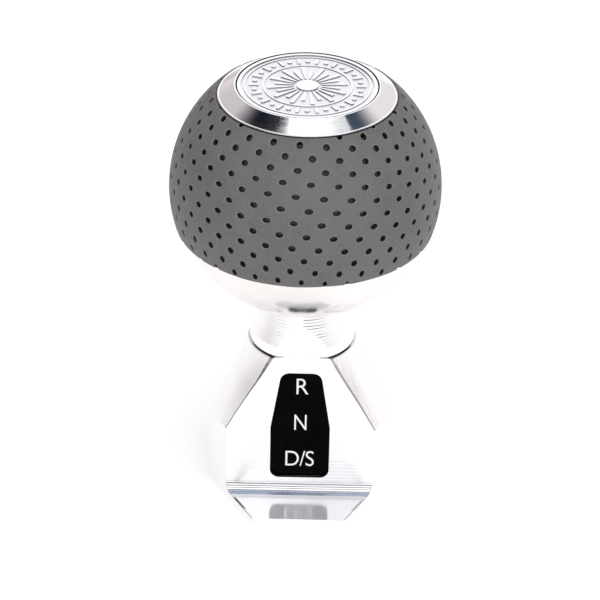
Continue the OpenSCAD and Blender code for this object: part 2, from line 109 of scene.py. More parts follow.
class KnobMetal(bpy.types.PropertyGroup):
    """The turned and milled aluminium"""

    colour: bpy.props.FloatVectorProperty(
        name="Colour", description="Colour of the bare aluminium",
        default=(0.935, 0.925, 0.93), min=0, max=1, subtype="COLOR")
    ball: bpy.props.FloatVectorProperty(
        name="Ball", description="Colour of the polished ball",
        default=(0.90, 0.87, 0.85), min=0, max=1, subtype="COLOR")
    medallion: bpy.props.FloatVectorProperty(
        name="Medallion", description="Colour of the struck medallion",
        default=(0.93, 0.93, 0.95), min=0, max=1, subtype="COLOR")
    ring_pitch: bpy.props.FloatProperty(
        name="Turning pitch", description="Distance between the rings that the lathe left",
        default=0.65 * MM, min=0.1 * MM, max=2 * MM, unit="LENGTH")
    mill_pitch: bpy.props.FloatProperty(
        name="Milling pitch", description="Distance between the cutter's lines",
        default=0.86 * MM, min=0.1 * MM, max=2 * MM, unit="LENGTH")


class KnobDisplay(bpy.types.PropertyGroup):
    """The window with the gear letters"""

    letter_colour: bpy.props.FloatVectorProperty(
        name="Letters", description="Colour of the gear letters",
        default=(0.96, 0.97, 1.0), min=0, max=1, subtype="COLOR")
    letter_height: bpy.props.FloatProperty(
        name="Letter height", description="Height of a capital",
        default=3.85 * MM, min=2 * MM, max=5 * MM, unit="LENGTH")


class KnobStudio(bpy.types.PropertyGroup):
    """Floor, lights and surroundings"""

    key_power: bpy.props.FloatProperty(
        name="Overhead light", description="Power of the overhead light",
        default=1.3, min=0, max=50, unit="POWER")
    side_power: bpy.props.FloatProperty(
        name="Side light", description="Power of the light from the right",
        default=0.22, min=0, max=50, unit="POWER")
    surround: bpy.props.FloatProperty(
        name="Surround", description="Level of the white surroundings",
        default=1.0, min=0, max=2)


# Node helpers


class Graph:
    """Adds linked nodes to one node tree."""

    def __init__(self, tree):
        self.tree = tree
        tree.nodes.clear()

    def add(self, kind, feeds=None, **settings):
        node = self.tree.nodes.new(kind)
        for key, value in settings.items():
            setattr(node, key, value)
        for key, value in (feeds or {}).items():
            self.feed(node.inputs[key], value)
        return node

    def feed(self, socket, value):
        """Links or sets a socket; a colour is written without its alpha"""
        if isinstance(value, bpy.types.NodeSocket):
            self.tree.links.new(value, socket)
        elif socket.type == "RGBA":
            socket.default_value = (*value, 1.0)
        else:
            socket.default_value = value

    def math(self, operation, *values):
        node = self.add("ShaderNodeMath", operation=operation)
        for socket, value in zip(node.inputs, values):
            self.feed(socket, value)
        return node.outputs[0]

    def times(self, *values):
        """The product of all the values"""
        product = values[0]
        for value in values[1:]:
            product = self.math("MULTIPLY", product, value)
        return product

    def radius(self, x, y):
        """Distance from the axis"""
        return self.math("SQRT", self.math(
            "ADD", self.math("POWER", x, 2.0), self.math("POWER", y, 2.0)))

    def turn(self, x, y):
        """Angle round the axis, nothing at the front and growing to the right"""
        return self.math("ARCTAN2", x, self.times(y, -1.0))

    def less(self, value):
        """What is left of one"""
        return self.math("SUBTRACT", 1.0, value)

    def span(self, value, low, high, to_low=0.0, to_high=1.0):
        """A smooth step from one level to another as the value goes from low to high"""
        node = self.add("ShaderNodeMapRange", interpolation_type="SMOOTHSTEP")
        for socket, v in zip(node.inputs, (value, low, high, to_low, to_high)):
            self.feed(socket, v)
        return node.outputs[0]

    def blend(self, factor, a, b):
        node = self.add("ShaderNodeMix", data_type="RGBA")
        self.feed(node.inputs["Factor"], factor)
        self.feed(node.inputs[6], a)
        self.feed(node.inputs[7], b)
        return node.outputs[2]

    def place(self):
        """Coordinates in the frame, in metres"""
        spot = self.add("ShaderNodeTexCoord").outputs["Object"]
        split = self.add("ShaderNodeSeparateXYZ", {0: spot})
        return spot, split.outputs[0], split.outputs[1], split.outputs[2]

    def facing(self, axis=2):
        """One part of the face's own normal, the upright one unless told otherwise"""
        flat = self.add("ShaderNodeNewGeometry").outputs["True Normal"]
        return self.add("ShaderNodeSeparateXYZ", {0: flat}).outputs[axis]

    def noise(self, vector, size, detail=2.0, rough=0.5, stretch=None):
        """Noise whose patches measure about the size"""
        if stretch:
            vector = self.add("ShaderNodeMapping", {0: vector, "Scale": stretch}).outputs[0]
        node = self.add("ShaderNodeTexNoise", {
            "Vector": vector, "Scale": 1 / size, "Detail": detail, "Roughness": rough})
        return node.outputs[0]

    def group(self, name, place, **values):
        """Places one of the shared effects and gives its outputs"""
        tree = bpy.data.node_groups[name]
        return self.add("ShaderNodeGroup", {"Place": place, **values}, node_tree=tree).outputs

    def across(self, front=0.0):
        """The direction across the tool marks: up, and along y too on a milled front"""
        return self.add("ShaderNodeCombineXYZ", {
            1: self.math("ADD", front, 0.01), 2: 1.0}).outputs[0]

    def soft_edge(self):
        """The normal with every edge broken a little"""
        return self.add("ShaderNodeBevel", {"Radius": 0.12 * MM}, samples=4).outputs[0]

    def edge(self, radius):
        """Marks the strip along every sharp edge"""
        soft = self.add("ShaderNodeBevel", {"Radius": radius}, samples=8).outputs[0]
        flat = self.add("ShaderNodeNewGeometry").outputs["Normal"]
        near = self.add("ShaderNodeVectorMath", {0: soft, 1: flat}, operation="DOT_PRODUCT")
        return self.span(near.outputs["Value"], 0.995, 0.93)

    def bump(self, height, distance, normal=None):
        """The normal over a height whose step of one measures the distance"""
        node = self.add("ShaderNodeBump", {
            "Height": height, "Distance": distance, "Strength": 1.0})
        if normal is not None:
            self.feed(node.inputs["Normal"], normal)
        return node.outputs[0]


def shade(colour, scale):
    """The same colour, darker or lighter"""
    return [c * scale for c in colour]


def new_group(name, inputs, outputs):
    """An empty shader group with its sockets, as a graph and its two ends"""
    tree = bpy.data.node_groups.new(name, "ShaderNodeTree")
    for socket, default in inputs:
        kind = "NodeSocketVector" if default is None else "NodeSocketFloat"
        made = tree.interface.new_socket(socket, in_out="INPUT", socket_type=kind)
        if default is not None:
            made.default_value = default
    for socket in outputs:
        tree.interface.new_socket(socket, in_out="OUTPUT", socket_type="NodeSocketFloat")
    g = Graph(tree)
    return g, g.add("NodeGroupInput").outputs, g.add("NodeGroupOutput").inputs


def build_groups():
    """The effects that several materials share"""
    # Lines that a cutter leaves at an even pitch along one coordinate
    g, ins, outs = new_group(
        "cutter_lines", [("Along", 0.0), ("Pitch", 0.6 * MM), ("Place", None)],
        ["Height", "Groove"])
    drift = g.noise(ins["Place"], 4 * MM, 1.0)
    count = g.math("ADD", g.math("DIVIDE", ins["Along"], ins["Pitch"]),
                   g.times(drift, 0.25))
    wave = g.math("ABSOLUTE", g.math("SINE", g.times(count, math.pi)))
    each = g.add("ShaderNodeTexWhiteNoise", {"W": g.math("FLOOR", count)},
                 noise_dimensions="1D").outputs["Value"]
    g.feed(outs["Height"], g.math("ADD", wave, g.times(each, 0.4)))
    sharp = g.span(wave, 0.1, 0.6, 1.0, 0.0)
    g.feed(outs["Groove"], g.times(sharp, g.span(each, 0.0, 1.0, 0.25, 1.0)))

    # Fine marks drawn out along circles round the axis
    g, ins, outs = new_group("round_brush", [("Place", None)], ["Height", "Mask"])
    split = g.add("ShaderNodeSeparateXYZ", {0: ins["Place"]}).outputs
    outward = g.math("ADD", g.radius(split[0], split[1]), split[2])
    drawn_out = g.times(g.math("ARCTAN2", split[1], split[0]), 0.4 * MM)
    polar = g.add("ShaderNodeCombineXYZ", {0: outward, 1: drawn_out}).outputs[0]
    fine = g.noise(polar, 0.11 * MM, 3.0, 0.65)
    broad = g.noise(polar, 0.6 * MM, 2.0, 0.5)
    g.feed(outs["Height"], fine)
    g.feed(outs["Mask"], g.span(g.math("ADD", fine, broad), 0.8, 1.25))

    # Handling: soft clouds and sparse fine scratches
    g, ins, outs = new_group("handling", [("Place", None)], ["Cloud", "Scratch"])
    cloud = g.noise(ins["Place"], 9 * MM, 3.0, 0.55)
    g.feed(outs["Cloud"], g.span(cloud, 0.35, 0.65))
    bent = g.noise(ins["Place"], 1.6 * MM, 1.0, 0.5, (6.0, 1.0, 1.0))
    thin = g.span(g.math("ABSOLUTE", g.math("SUBTRACT", bent, 0.5)), 0.0, 0.012, 1.0, 0.0)
    g.feed(outs["Scratch"], g.times(thin, g.span(cloud, 0.55, 0.7)))

    # Leather grain: pebbles, pores and a slow change of tone
    g, ins, outs = new_group(
        "leather_grain", [("Place", None), ("Size", 0.5 * MM)], ["Height", "Tone", "Pores"])
    scale = g.math("DIVIDE", 1.0, ins["Size"])
    cells = g.add("ShaderNodeTexVoronoi", {"Vector": ins["Place"], "Scale": scale},
                  feature="SMOOTH_F1").outputs["Distance"]
    fine = g.noise(ins["Place"], 0.22 * MM, 3.0, 0.6)
    g.feed(outs["Height"], g.math("ADD", g.times(cells, -0.7), g.times(fine, 0.6)))
    g.feed(outs["Tone"], g.noise(ins["Place"], 7 * MM, 3.0, 0.55))
    g.feed(outs["Pores"], g.span(fine, 0.60, 0.74))

    # Moulded or cast texture for plastic, rubber and plated steel
    g, ins, outs = new_group("spark_grain", [("Place", None), ("Size", 0.3 * MM)],
                             ["Height", "Speck"])
    node = g.add("ShaderNodeTexNoise", {
        "Vector": ins["Place"], "Scale": g.math("DIVIDE", 1.0, ins["Size"]), "Detail": 2.0})
    g.feed(outs["Height"], node.outputs[0])
    g.feed(outs["Speck"], g.span(node.outputs[0], 0.4, 0.62))


def new_material(name):
    mat = bpy.data.materials.new(name)
    mat.use_nodes = True
    return mat, Graph(mat.node_tree)


def close_material(g, **sockets):
    """Adds the shader and the output; a socket's blanks are written as underlines"""
    shader = g.add("ShaderNodeBsdfPrincipled",
                   {key.replace("_", " "): v for key, v in sockets.items()})
    g.add("ShaderNodeOutputMaterial", {"Surface": shader.outputs[0]})


def bare_metal(name, colour, rough, depth, pitch=None):
    """Metal turned with cutter lines up it or, without a pitch, brushed round; depth is
    in millimetres"""
    mat, g = new_material(name)
    spot, x, y, z = g.place()
    handled = g.group("handling", spot)
    tone = g.blend(g.times(handled["Cloud"], 0.25), colour, shade(colour, 0.94))
    roughness = g.math("MULTIPLY_ADD", handled["Cloud"], 0.05, rough)
    roughness = g.math("MULTIPLY_ADD", handled["Scratch"], 0.1, roughness)
    if pitch:
        cut = g.group("cutter_lines", spot, Along=z, Pitch=pitch)
        height, anisotropy = cut["Height"], 0.5
        # Painted shade in the turning lines
        tone = g.blend(g.times(cut["Groove"], 0.15), tone, (0, 0, 0))
    else:
        brush = g.group("round_brush", spot)
        height, anisotropy = brush["Height"], 0.6
        roughness = g.math("MULTIPLY_ADD", brush["Mask"], 0.04, roughness)
        # Painted shade: the inner wall and the outer edge are darkened, as the gaps beside
        # them lie in shadow
        edge = g.span(g.radius(x, y), RING_HIGH.x - 0.17 * MM, RING_HIGH.x - 0.1 * MM)
        wall = g.math("MAXIMUM", g.span(g.facing(), 0.5, 0.3), edge)
        tone = g.blend(g.times(wall, 0.96), tone, (0, 0, 0))
    close_material(g, Base_Color=tone, Metallic=1.0, Roughness=roughness,
                   Anisotropic=anisotropy, Tangent=g.across(),
                   Normal=g.bump(height, depth * MM, normal=g.soft_edge()))
    return mat


def plain_finish(name, colour, rough=0.5, size=0.3 * MM, depth=0.01, metallic=0.0,
                 coat=0.0):
    """Moulded, painted or plated surfaces: fine grain, handling marks, slight tone change"""
    mat, g = new_material(name)
    spot, *_ = g.place()
    grain = g.group("spark_grain", spot, Size=size)
    handled = g.group("handling", spot)
    tone = g.blend(g.times(grain["Speck"], 0.5), shade(colour, 0.92), shade(colour, 1.05))
    tone = g.blend(g.times(handled["Cloud"], 0.3), tone, shade(colour, 0.85))
    roughness = g.math("MULTIPLY_ADD", handled["Cloud"], 0.08, rough)
    close_material(g, Base_Color=tone, Metallic=metallic, Roughness=roughness,
                   Coat_Weight=coat, Normal=g.bump(grain["Height"], depth * MM))
    return mat


# Mesh helpers


def dress(node, material):
    """Gives a CAD node its material"""
    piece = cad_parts[node]
    if not piece.material_slots:
        piece.data.materials.append(material)
    for slot in piece.material_slots:
        slot.material = material


def new_object(name, data):
    """An object of the scene that shows the data"""
    piece = bpy.data.objects.new(name, data)
    bpy.context.scene.collection.objects.link(piece)
    return piece


def new_piece(name, verts, faces, material, body):
    """A smooth mesh that rides on a body of the frame"""
    mesh = bpy.data.meshes.new(name)
    mesh.from_pydata(verts, [], faces)
    mesh.validate()
    for polygon in mesh.polygons:
        polygon.use_smooth = True
    mesh.materials.append(material)
    piece = new_object(name, mesh)
    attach(piece, body)
    return piece


def on_ball(turn, lat, radius=LEATHER_R):
    """A point of a sphere round the ball's centre; turn 0 is the front"""
    return BALL + radius * Vector((math.cos(lat) * math.sin(turn),
                                   -math.cos(lat) * math.cos(turn), math.sin(lat)))


# The leather cover

# A hole's outline has this many points, and its rolled rim is given as pairs of a
# multiple of the hole's size and a depth in millimetres
HOLE_SIDES = 22
HOLE_ROLL = [(1.55, 0.0), (1.38, 0.015), (1.22, 0.055), (1.09, 0.14), (1.0, 0.29),
             (0.95, 0.55), (0.93, 1.16)]
ROLL_REACH = HOLE_ROLL[0][0]
FLOOR_REACH, HOLE_DEPTH = HOLE_ROLL[-1]

# The turned edges: their radius, the rows of points this far in from them, and how many
# points go along an edge and a seam
EDGE_R = 0.4 * MM
EDGE_ROWS = [0.0, 0.06 * MM, 0.18 * MM, EDGE_R]
EDGE_STEPS, SEAM_STEPS = 170, 60

# Angles: from the front to a seam, up to the upper edge, and between scattered points
SIDE = math.pi / 2
UPPER_LAT = math.acos((COVER_TOP_R + 0.02 * MM) / LEATHER_R)
POINT_STEP = 0.85 * MM / LEATHER_R


def hole_directions():
    """The hole pattern, front half: rows round a tilted pole, every other row half a
    step on. The angles are in degrees, as they were measured in the photograph"""
    lean, roll = math.radians(16.9), math.radians(3.9)
    pole = Vector((math.sin(roll), math.sin(lean), 0))
    pole.z = math.sqrt(1 - pole.length_squared)
    level_x = Vector((0, 1, 0)).cross(pole).normalized()
    level_y = pole.cross(level_x)
    # The edges cut through holes that lie this far past them, and the seam has none
    cut_off, seam_clear = 0.35 * MM, 0.94 * MM
    found = []
    for k in range(-3, 14):
        lat = 28 - 5.2 * k - 0.024 * k * k
        step = 11.3 + 0.00055 * (lat + 14) ** 2
        for j in range(-9, 10):
            turn = math.radians(-84.1 + (j + (k % 2) * 0.5) * step)
            d = level_x * math.cos(turn) + level_y * math.sin(turn)
            d = d * math.cos(math.radians(lat)) + pole * math.sin(math.radians(lat))
            if (LEATHER_R * d.z > -LEATHER_DROP - cut_off and -LEATHER_R * d.y > seam_clear
                    and LEATHER_R * math.hypot(d.x, d.y) > COVER_TOP_R - cut_off):
                found.append(d)
    return found


class Hole:
    """One oval punched hole"""

    def __init__(self, d, along, up):
        self.d, self.along, self.up = d, along, up
        self.east = Vector((0, 0, 1)).cross(d).normalized()
        self.north = d.cross(self.east)

    def ring(self, scale):
        """Directions round the hole at a multiple of its size"""
        found = []
        for s in range(HOLE_SIDES):
            a = 2 * math.pi * s / HOLE_SIDES
            p = self.d + self.east * (math.cos(a) * self.along * scale / LEATHER_R)
            p += self.north * (math.sin(a) * self.up * scale / LEATHER_R)
            found.append(p.normalized())
        return found

    def reach(self, d):
        """How far a direction lies from the middle, in hole sizes"""
        side = (d - self.d) * LEATHER_R
        return math.hypot(side.dot(self.east) / self.along, side.dot(self.north) / self.up)


def hole_drop(reach):
    """Depth below the leather's face at that many hole sizes, in millimetres"""
    for (far, shallow), (near, deep) in zip(HOLE_ROLL[:-1], HOLE_ROLL[1:]):
        if reach >= far:
            return shallow
        if reach > near:
            return shallow + (deep - shallow) * (far - reach) / (far - near)
    return HOLE_DEPTH


def lower_lat(turn):
    """The cover's lower edge wavers a little"""
    waver = 0.07 * (1 + math.sin(5 * turn + 1) * math.sin(11 * turn)) * MM
    return math.asin((waver - LEATHER_DROP) / LEATHER_R)


class KNOB_OT_leather(bpy.types.Operator):
    """Makes the leather cover with its punched, rolled holes and turned edges"""

    bl_idname = "knob.leather"
    bl_label = "Leather cover"

    def execute(self, context):
        look = context.scene.knob_leather
        mat = self.leather_material(look)
        verts, faces, depth = self.half_cover(look)
        count = len(verts)
        verts += [Vector((-v.x, -v.y, v.z)) for v in verts]
        faces += [tuple(i + count for i in f) for f in faces]
        piece = new_piece("leather_cover", verts, faces, mat, "knob")
        mark = piece.data.attributes.new("depth", "FLOAT", "POINT")
        mark.data.foreach_set("value", depth + depth)
        face_out(piece.data, BALL)
        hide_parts("leather_wrap")
        return {"FINISHED"}

    def place_holes(self, look):
        """Every hole of the front half, with its own slightly uneven size"""
        rng = random.Random(7)
        self.holes = []
        for d in hole_directions():
            # The leather is drawn sideways at 20 degrees up, and down at its lower edge
            drawn = ((math.degrees(math.asin(d.z)) - 20) / 20) ** 2
            along = look.hole_length / 2 * (1 - 0.115 * drawn)
            up = look.hole_height / 2 * min(1 + 0.25 * drawn, 1.62)
            self.holes.append(Hole(d, along * rng.uniform(0.94, 1.06),
                                   up * rng.uniform(0.94, 1.06)))
        self.tree = kdtree.KDTree(len(self.holes))
        for i, hole in enumerate(self.holes):
            self.tree.insert(hole.d, i)
        self.tree.balance()

    def plan(self):
        """Points and lines on the unrolled cover: its edges, its seams and its holes"""
        flat, edges = [], []

        def chain(points):
            """Adds points joined by a line"""
            start = len(flat)
            flat.extend(Vector(p) for p in points)
            ids = list(range(start, len(flat)))
            edges.extend(zip(ids[:-1], ids[1:]))
            return ids

        turns = [SIDE * (2 * i / EDGE_STEPS - 1) for i in range(EDGE_STEPS + 1)]
        for row in EDGE_ROWS:
            low = chain((t, lower_lat(t) + row / LEATHER_R) for t in turns)
            top = chain((t, UPPER_LAT - row / LEATHER_R) for t in turns)
            if row == 0:
                border = low, top
        for t in (-SIDE, SIDE):
            tall = UPPER_LAT - lower_lat(t)
            chain((t, lower_lat(t) + tall * i / SEAM_STEPS) for i in range(SEAM_STEPS + 1))
        # A hole clear of every edge gets its rolled rim as rings once the rest has faces
        strips = {}
        for hole in self.holes:
            lat = math.asin(hole.d.z)
            turn = math.atan2(hole.d.x, -hole.d.y)
            clear = 1.6 * max(hole.along, hole.up) + EDGE_R
            inner = (min(lat - lower_lat(turn), UPPER_LAT - lat) * LEATHER_R > clear
                     and -hole.d.y * LEATHER_R > clear - EDGE_R)
            for scale, _ in HOLE_ROLL[:1] if inner else HOLE_ROLL:
                ring = [(math.atan2(p.x, -p.y), math.asin(p.z)) for p in hole.ring(scale)]
                ids = chain(ring)
                edges.append((ids[-1], ids[0]))
            if inner:
                strips[hole] = ids
        return flat, edges, border, strips

    def half_cover(self, look):
        """The front half; the rear half is the same, turned half round"""
        self.place_holes(look)
        flat, edges, border, strips = self.plan()
        self.scatter(flat)
        out, _, tris, origin, _, _ = delaunay_2d_cdt(flat, edges, [], 1, 1e-9)
        new_id = {old: i for i, olds in enumerate(origin) for old in olds}
        verts, depth, faces = [], [], []
        for p in out:
            place, deep = self.sink(p)
            verts.append(place)
            depth.append(deep)
        for tri in tris:
            mid = (out[tri[0]] + out[tri[1]] + out[tri[2]]) / 3
            if self.is_leather(mid, strips):
                faces.append(tuple(tri))
        for hole, ids in strips.items():
            outer = [new_id[i] for i in ids]
            for scale, drop in HOLE_ROLL[1:]:
                ring = []
                for p in hole.ring(scale):
                    ring.append(len(verts))
                    verts.append(BALL + p * (LEATHER_R - drop * MM))
                    depth.append(drop / HOLE_DEPTH)
                for s in range(HOLE_SIDES):
                    t = (s + 1) % HOLE_SIDES
                    faces.append((outer[s], outer[t], ring[t], ring[s]))
                outer = ring
        for ids in border:
            self.edge_wall(verts, faces, depth, [new_id[i] for i in ids], out)
        return verts, faces, depth

    def scatter(self, flat):
        """Points between the holes, in staggered rows"""
        lat, row = lower_lat(0) + 2.2 * EDGE_R / LEATHER_R, 0
        while lat < UPPER_LAT - 1.6 * EDGE_R / LEATHER_R:
            count = int(math.pi * math.cos(lat) / POINT_STEP)
            for i in range(count):
                p = Vector((SIDE * (2 * (i + 0.25 + 0.5 * (row % 2)) / count - 1), lat))
                d = on_ball(p.x, p.y, 1.0) - BALL
                hole = self.holes[self.tree.find(d)[1]]
                clear = ROLL_REACH + 0.35 * MM / hole.up
                if hole.reach(d) > clear and abs(p.x) < SIDE - POINT_STEP / 2:
                    flat.append(p)
            lat += POINT_STEP * 0.87
            row += 1

    def nearest(self, p):
        """The hole that a point lies nearest to, in hole sizes, and its direction"""
        d = on_ball(p.x, p.y, 1.0) - BALL
        best = min(self.tree.find_n(d, 2), key=lambda found: self.holes[found[1]].reach(d))
        return self.holes[best[1]], d

    def reach(self, p):
        """How far a point lies from the middle of that hole, in hole sizes"""
        hole, d = self.nearest(p)
        return hole.reach(d)

    def is_leather(self, p, strips):
        """Whether a point is on the cover, outside the holes and outside the rings"""
        if not lower_lat(p.x) < p.y < UPPER_LAT or abs(p.x) >= SIDE:
            return False
        hole, d = self.nearest(p)
        return hole.reach(d) > (ROLL_REACH - 0.01 if hole in strips else FLOOR_REACH)

    def sink(self, p):
        """A point's place once the holes and the edges are rolled in"""
        drop = hole_drop(self.reach(p) + 1e-4)
        deep = drop / HOLE_DEPTH
        gap = min(p.y - lower_lat(p.x), UPPER_LAT - p.y) * LEATHER_R
        if gap < EDGE_R:
            left = max(EDGE_R - gap, 0)
            drop += (EDGE_R - math.sqrt(max(EDGE_R ** 2 - left ** 2, 0))) / MM
        return on_ball(p.x, p.y, LEATHER_R - min(drop, HOLE_DEPTH) * MM), deep

    def edge_wall(self, verts, faces, depth, ids, out):
        """The cut edge, down to the ball, and open where it cuts through a hole"""
        below = []
        for i in ids:
            below.append(len(verts))
            verts.append(on_ball(out[i].x, out[i].y, GROOVE_R + 0.03 * MM))
            # This depth mark gives the cut edge the holes' painted shade
            depth.append(0.6)
        for a in range(len(ids) - 1):
            mid = (out[ids[a]] + out[ids[a + 1]]) / 2
            if self.reach(mid) > 0.97:
                faces.append((ids[a], ids[a + 1], below[a + 1], below[a]))

    def leather_material(self, look):
        """Dyed and grained, with pale rims, dark holes and a seam at each side"""
        mat, g = new_material("grey_leather")
        spot, _, y, _ = g.place()
        grain = g.group("leather_grain", spot, Size=look.grain)
        depth = g.add("ShaderNodeAttribute", attribute_name="depth").outputs["Fac"]
        tone = g.blend(g.span(grain["Tone"], 0.3, 0.7), shade(look.colour, 0.92),
                       shade(look.colour, 1.06))
        tone = g.blend(g.times(grain["Pores"], 0.5), tone, shade(look.colour, 0.6))
        tone = g.blend(g.span(grain["Height"], -0.15, 0.2, 0.0, 0.35), tone,
                       shade(look.colour, 1.35))
        # Painted highlight on the rims of the holes, and painted shade down the hole walls,
        # which darken with depth
        tone = g.blend(g.span(depth, 0.003, 0.03), tone, shade(look.colour, 1.4))
        tone = g.blend(g.span(depth, 0.1, 0.28), tone, look.hole_shade_colour)
        seam = g.span(g.math("ABSOLUTE", y), 0.04 * MM, 0.16 * MM, 1.0, 0.0)
        tone = g.blend(g.times(seam, 0.6), tone, shade(look.colour, 0.35))
        rough = g.math("MULTIPLY_ADD", grain["Tone"], 0.1, 0.5)
        height = g.math("SUBTRACT", grain["Height"], g.times(seam, 4.0))
        close_material(g, Base_Color=tone, Roughness=rough, Specular_IOR_Level=0.35,
                       Sheen_Weight=0.04, Sheen_Roughness=0.5,
                       Normal=g.bump(height, 0.08 * MM))
        return mat


def face_out(mesh, centre):
    """Joins the halves' shared points and turns every face of the shell outwards"""
    bm = bmesh.new()
    bm.from_mesh(mesh)
    bmesh.ops.remove_doubles(bm, verts=bm.verts, dist=1e-7)
    bmesh.ops.recalc_face_normals(bm, faces=bm.faces)
    outside = sum((f.calc_center_median() - centre).dot(f.normal) * f.calc_area()
                  for f in bm.faces)
    if outside < 0:
        bmesh.ops.reverse_faces(bm, faces=bm.faces)
    bm.to_mesh(mesh)
    bm.free()


# The bare metal


class KNOB_OT_metal(bpy.types.Operator):
    """Gives the ball, the neck, the foot and the ring their turned and milled finishes"""

    bl_idname = "knob.metal"
    bl_label = "Bare metal"

    def execute(self, context):
        look = context.scene.knob_metal
        dress("head_ball", self.ball_material(look))
        dress("neck_collar", self.neck_material(look))
        dress("foot_body", self.foot_material(look))
        dress("bezel_ring", bare_metal("brushed_ring", look.colour, 0.08, 0.0015))
        dress("button_cup", bare_metal("machined_aluminium", (0.5, 0.5, 0.51), 0.35,
                                       0.004, 0.25 * MM))
        return {"FINISHED"}

    def ball_material(self, look):
        """Polished below the leather, and a dull padding under it"""
        mat, g = new_material("polished_aluminium")
        spot, _, _, z = g.place()
        handled = g.group("handling", spot)
        brush = g.group("round_brush", spot)
        cut = g.group("cutter_lines", spot, Along=z, Pitch=0.35 * MM)
        # Painted shade, faint, in the turning lines
        tone = g.blend(g.times(cut["Groove"], 0.02), look.ball, (0, 0, 0))
        hidden = g.math("GREATER_THAN", z, WRAP_LOW.z - 0.02 * MM)
        tone = g.blend(hidden, tone, (0.075, 0.074, 0.072))
        rough = g.math("MULTIPLY_ADD", handled["Cloud"], 0.02, 0.15)
        rough = g.math("MAXIMUM", rough, g.times(hidden, 0.9))
        height = g.math("ADD", brush["Height"], g.times(cut["Height"], 0.3))
        close_material(g, Base_Color=tone, Metallic=g.less(hidden),
                       Roughness=rough, Anisotropic=0.3, Tangent=g.across(),
                       Normal=g.bump(height, 0.002 * MM))
        return mat

    def neck_material(self, look):
        """Turned rings, with their lines painted dark as painted reflections: faintly all
        round, strongly in two sectors
        """
        mat, g = new_material("turned_aluminium")
        spot, x, y, z = g.place()
        handled = g.group("handling", spot)
        cut = g.group("cutter_lines", spot, Along=z, Pitch=look.ring_pitch)
        turn = g.turn(x, y)
        high = g.math("DIVIDE", g.math("SUBTRACT", z, FOOT_HIGH.z), 6.5 * MM)
        # Painted reflections: the two sectors where the turning lines show dark, stronger
        # higher up on the right
        right = g.times(g.span(turn, 0.0, 0.04), g.span(turn, 0.68, 0.2),
                        g.span(high, 0.2, 1.0, 0.4, 1.8))
        left = g.times(g.span(turn, -0.58, -0.54), g.span(turn, -0.34, -0.38))
        # The neck's own flat, in line with the foot's milled face, has no rings
        turned = g.span(g.math("ABSOLUTE", g.math("SUBTRACT", y, FLAT_Y)), 0.0, 0.02 * MM)
        marks = g.math("ADD", g.math("MULTIPLY_ADD", left, 0.4, right), 0.02)
        marks = g.times(cut["Groove"], marks, turned)
        tone = g.blend(marks, look.colour, (0.02, 0.018, 0.018))
        rough = g.math("MULTIPLY_ADD", handled["Cloud"], 0.05, 0.2)
        close_material(g, Base_Color=tone, Metallic=1.0, Roughness=rough,
                       Anisotropic=0.5, Tangent=g.across(),
                       Normal=g.bump(g.times(cut["Height"], turned), 0.002 * MM,
                                     normal=g.soft_edge()))
        return mat

    def foot_material(self, look):
        """Turned cone, milled front and side facets, told apart by where they lie"""
        mat, g = new_material("milled_aluminium")
        spot, x, y, z = g.place()
        handled = g.group("handling", spot)
        facing = g.facing()
        front = g.times(g.span(y, FLAT_Y + 0.15 * MM, FLAT_Y + 0.05 * MM),
                        g.span(g.math("ABSOLUTE", g.facing(0)), 0.5, 0.3))
        side = g.less(front)
        cone = g.times(g.span(facing, 0.2, 0.3), side)
        ledge = g.times(g.span(facing, 0.9, 0.97), front)
        foot = g.times(g.span(z, 5.0 * MM, 3.5 * MM), front)
        gap = g.math("SUBTRACT", y, FLAT_Y)
        milled = g.group("cutter_lines", spot, Along=z, Pitch=look.mill_pitch)
        turned = g.group("cutter_lines", spot, Along=z, Pitch=0.5 * MM)
        close = g.group("cutter_lines", spot, Along=g.math("ADD", z, y), Pitch=0.62 * MM)

        # The milled face is a lighter copy of the metal, painted light. The ledge is satin,
        # so it shows the window only faintly
        tone = g.blend(front, look.colour, shade(look.colour, 1.065))
        tone = g.blend(ledge, tone, (0.95, 0.97, 1.0))
        # Painted shade in the cutter lines: the milled face's lines, darker to the right, and
        # faintly the cone's rings
        wide = g.times(milled["Groove"], front, g.span(x, -8 * MM, 8 * MM, 0.1, 0.3))
        rings = g.times(turned["Groove"], cone, 0.06)
        tone = g.blend(g.math("ADD", wide, rings), tone, (0.34, 0.35, 0.38))
        # Painted shade in the fillet's close cutter lines
        fine = self.fillet_lines(g, z, facing, foot, ledge, close["Height"])
        tone = g.blend(fine, tone, (0.13, 0.13, 0.14))
        # Painted reflection: a bluish band where the fillet meets the ledge
        band = g.times(self.reflection_band(g, spot, z), front, g.span(facing, 0.2, 0.4))
        tone = g.blend(band, tone, (0.28, 0.34, 0.48))
        # Painted reflections: lilac streaks up the right of the cone
        reflection_streak = g.times(self.streaks(g, x, y), g.span(gap, 4 * MM, 1 * MM), cone)
        tone = g.blend(reflection_streak, tone, (0.82, 0.78, 0.80))
        # The side's sharp edges are a little darker
        darker_edges = g.times(g.edge(0.25 * MM), side, 0.25)
        tone = g.blend(darker_edges, tone, (0.6, 0.58, 0.6))
        # Painted shade, in black: along the milled face's burr, along the ledge's slanting
        # sides and in the gap below the neck
        burr_shade = g.times(self.burr_shade(g, x, z, gap, turned["Height"]), cone)
        ledge_shade = g.times(self.shaded_ledge_sides(g, x, y), ledge)
        dark = g.math("MAXIMUM", g.math("MAXIMUM", burr_shade, ledge_shade), self.seam(g, y, z))
        tone = g.blend(dark, tone, (0.01, 0.01, 0.012))
        tone = g.blend(g.times(handled["Cloud"], 0.15), tone, shade(look.colour, 0.94))

